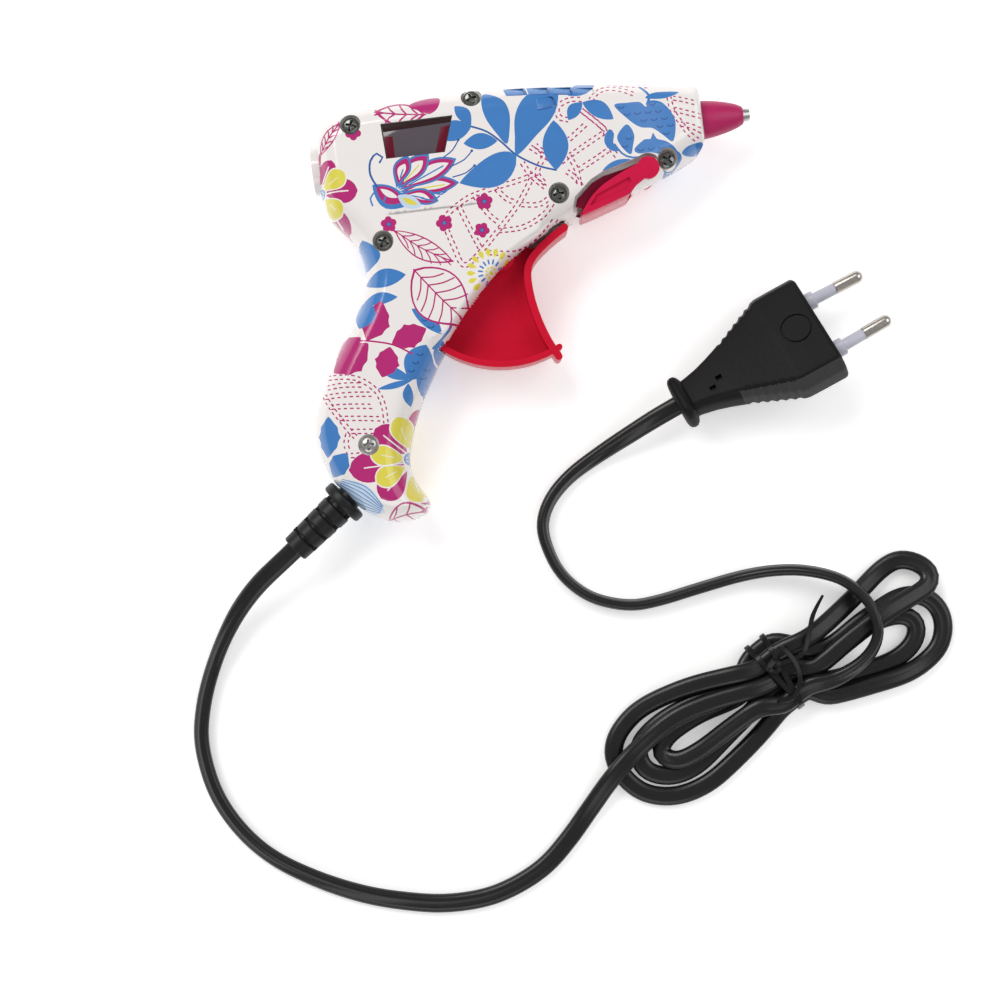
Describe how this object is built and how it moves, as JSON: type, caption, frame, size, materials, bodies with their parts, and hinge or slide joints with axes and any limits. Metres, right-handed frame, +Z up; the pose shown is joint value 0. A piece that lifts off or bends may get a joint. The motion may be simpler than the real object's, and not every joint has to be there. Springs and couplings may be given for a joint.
{
  "type": "glue gun",
  "caption": "Small hot-melt glue gun in a floral printed two-part casing, with a sprung trigger that feeds the stick, a folding stand, and its lead and plug.",
  "frame": {"origin": "bottom centre of the gun's box, with the gun lying on its left side and its free lead and plug left out", "axes": "+X forward along the barrel to the nozzle, +Y from the handle up to the barrel's top, +Z up, out of the gun's right side"},
  "size_m": [0.2345, 0.245, 0.028],
  "materials": {
    "printed_casing": "glossy white with a printed floral pattern in blue, magenta and yellow",
    "smoked_window": "smoked clear plastic",
    "dark_steel": "blackened screw steel",
    "steel": "bright steel",
    "red_plastic": "glossy red",
    "clear_red_plastic": "glossy translucent red",
    "magenta_silicone": "satin magenta silicone",
    "silicone": "pale silicone",
    "aluminium": "as cast",
    "ceramic": "unglazed",
    "black_rubber": "satin black",
    "black_plastic": "satin black",
    "brown_insulation": "satin",
    "blue_insulation": "satin",
    "nickel": "nickel plate",
    "pin_insulation": "satin pale grey"
  },
  "bodies": {
    "gun": {"casing_right": "printed_casing", "casing_left": "printed_casing", "window_pane_right": "smoked_window", "window_pane_left": "smoked_window", "case_screw_1": "dark_steel", "case_screw_2": "dark_steel", "case_screw_3": "dark_steel", "case_screw_4": "dark_steel", "case_screw_5": "dark_steel", "case_screw_6": "steel", "trigger_pin": "steel", "stick_guide": "red_plastic", "return_spring": "steel", "feed_sleeve": "silicone", "melt_chamber": "aluminium", "heater_element": "ceramic", "heater_clip": "steel", "nozzle_tip": "steel", "nozzle_sleeve": "magenta_silicone", "stand_pin": "steel", "strain_relief": "black_rubber", "lead_end": "black_rubber", "cord_clamp": "black_plastic", "clamp_screw_1": "steel", "clamp_screw_2": "steel", "live_wire": "brown_insulation", "neutral_wire": "blue_insulation", "live_crimp": "steel", "neutral_crimp": "steel", "mains_lead": "black_rubber", "cord_hank": "black_rubber", "cord_tie": "black_plastic", "plug_lead": "black_rubber", "plug_body": "black_rubber", "plug_pin_1": "nickel", "plug_pin_2": "nickel", "pin_sleeve_1": "pin_insulation", "pin_sleeve_2": "pin_insulation"},
    "trigger": {"trigger": "red_plastic"},
    "carriage": {"feed_carriage": "red_plastic", "clamp_lever_pin": "steel"},
    "clamp": {"clamp_lever": "red_plastic"},
    "stand": {"stand": "clear_red_plastic"}
  },
  "joints": [
    {"name": "trigger_pull", "type": "hinge", "parent": "gun", "child": "trigger", "pos_m": [-0.00244, 0.01581, 0.014], "axis": [0, 0, 1], "range_deg": [-24, 0], "stiffness_Nm_per_rad": 0.3, "springref_deg": 11.46},
    {"name": "carriage_slide", "type": "slide", "parent": "gun", "child": "carriage", "axis": [1, 0, 0], "range_m": [0, 0.007], "deforming": ["return_spring"]},
    {"name": "clamp_tilt", "type": "hinge", "parent": "carriage", "child": "clamp", "pos_m": [-0.00704, 0.05576, 0.014], "axis": [0, 0, 1], "range_deg": [0, 6.05]},
    {"name": "stand_fold", "type": "hinge", "parent": "gun", "child": "stand", "pos_m": [0.04386, 0.03601, 0.014], "axis": [0, 0, 1], "range_deg": [0, 85]}
  ],
  "couplings": [
    {"joint": "carriage_slide", "follows": "trigger_pull", "m_per_rad": -0.01659},
    {"joint": "clamp_tilt", "follows": "trigger_pull", "ratio": -0.25}
  ]
}
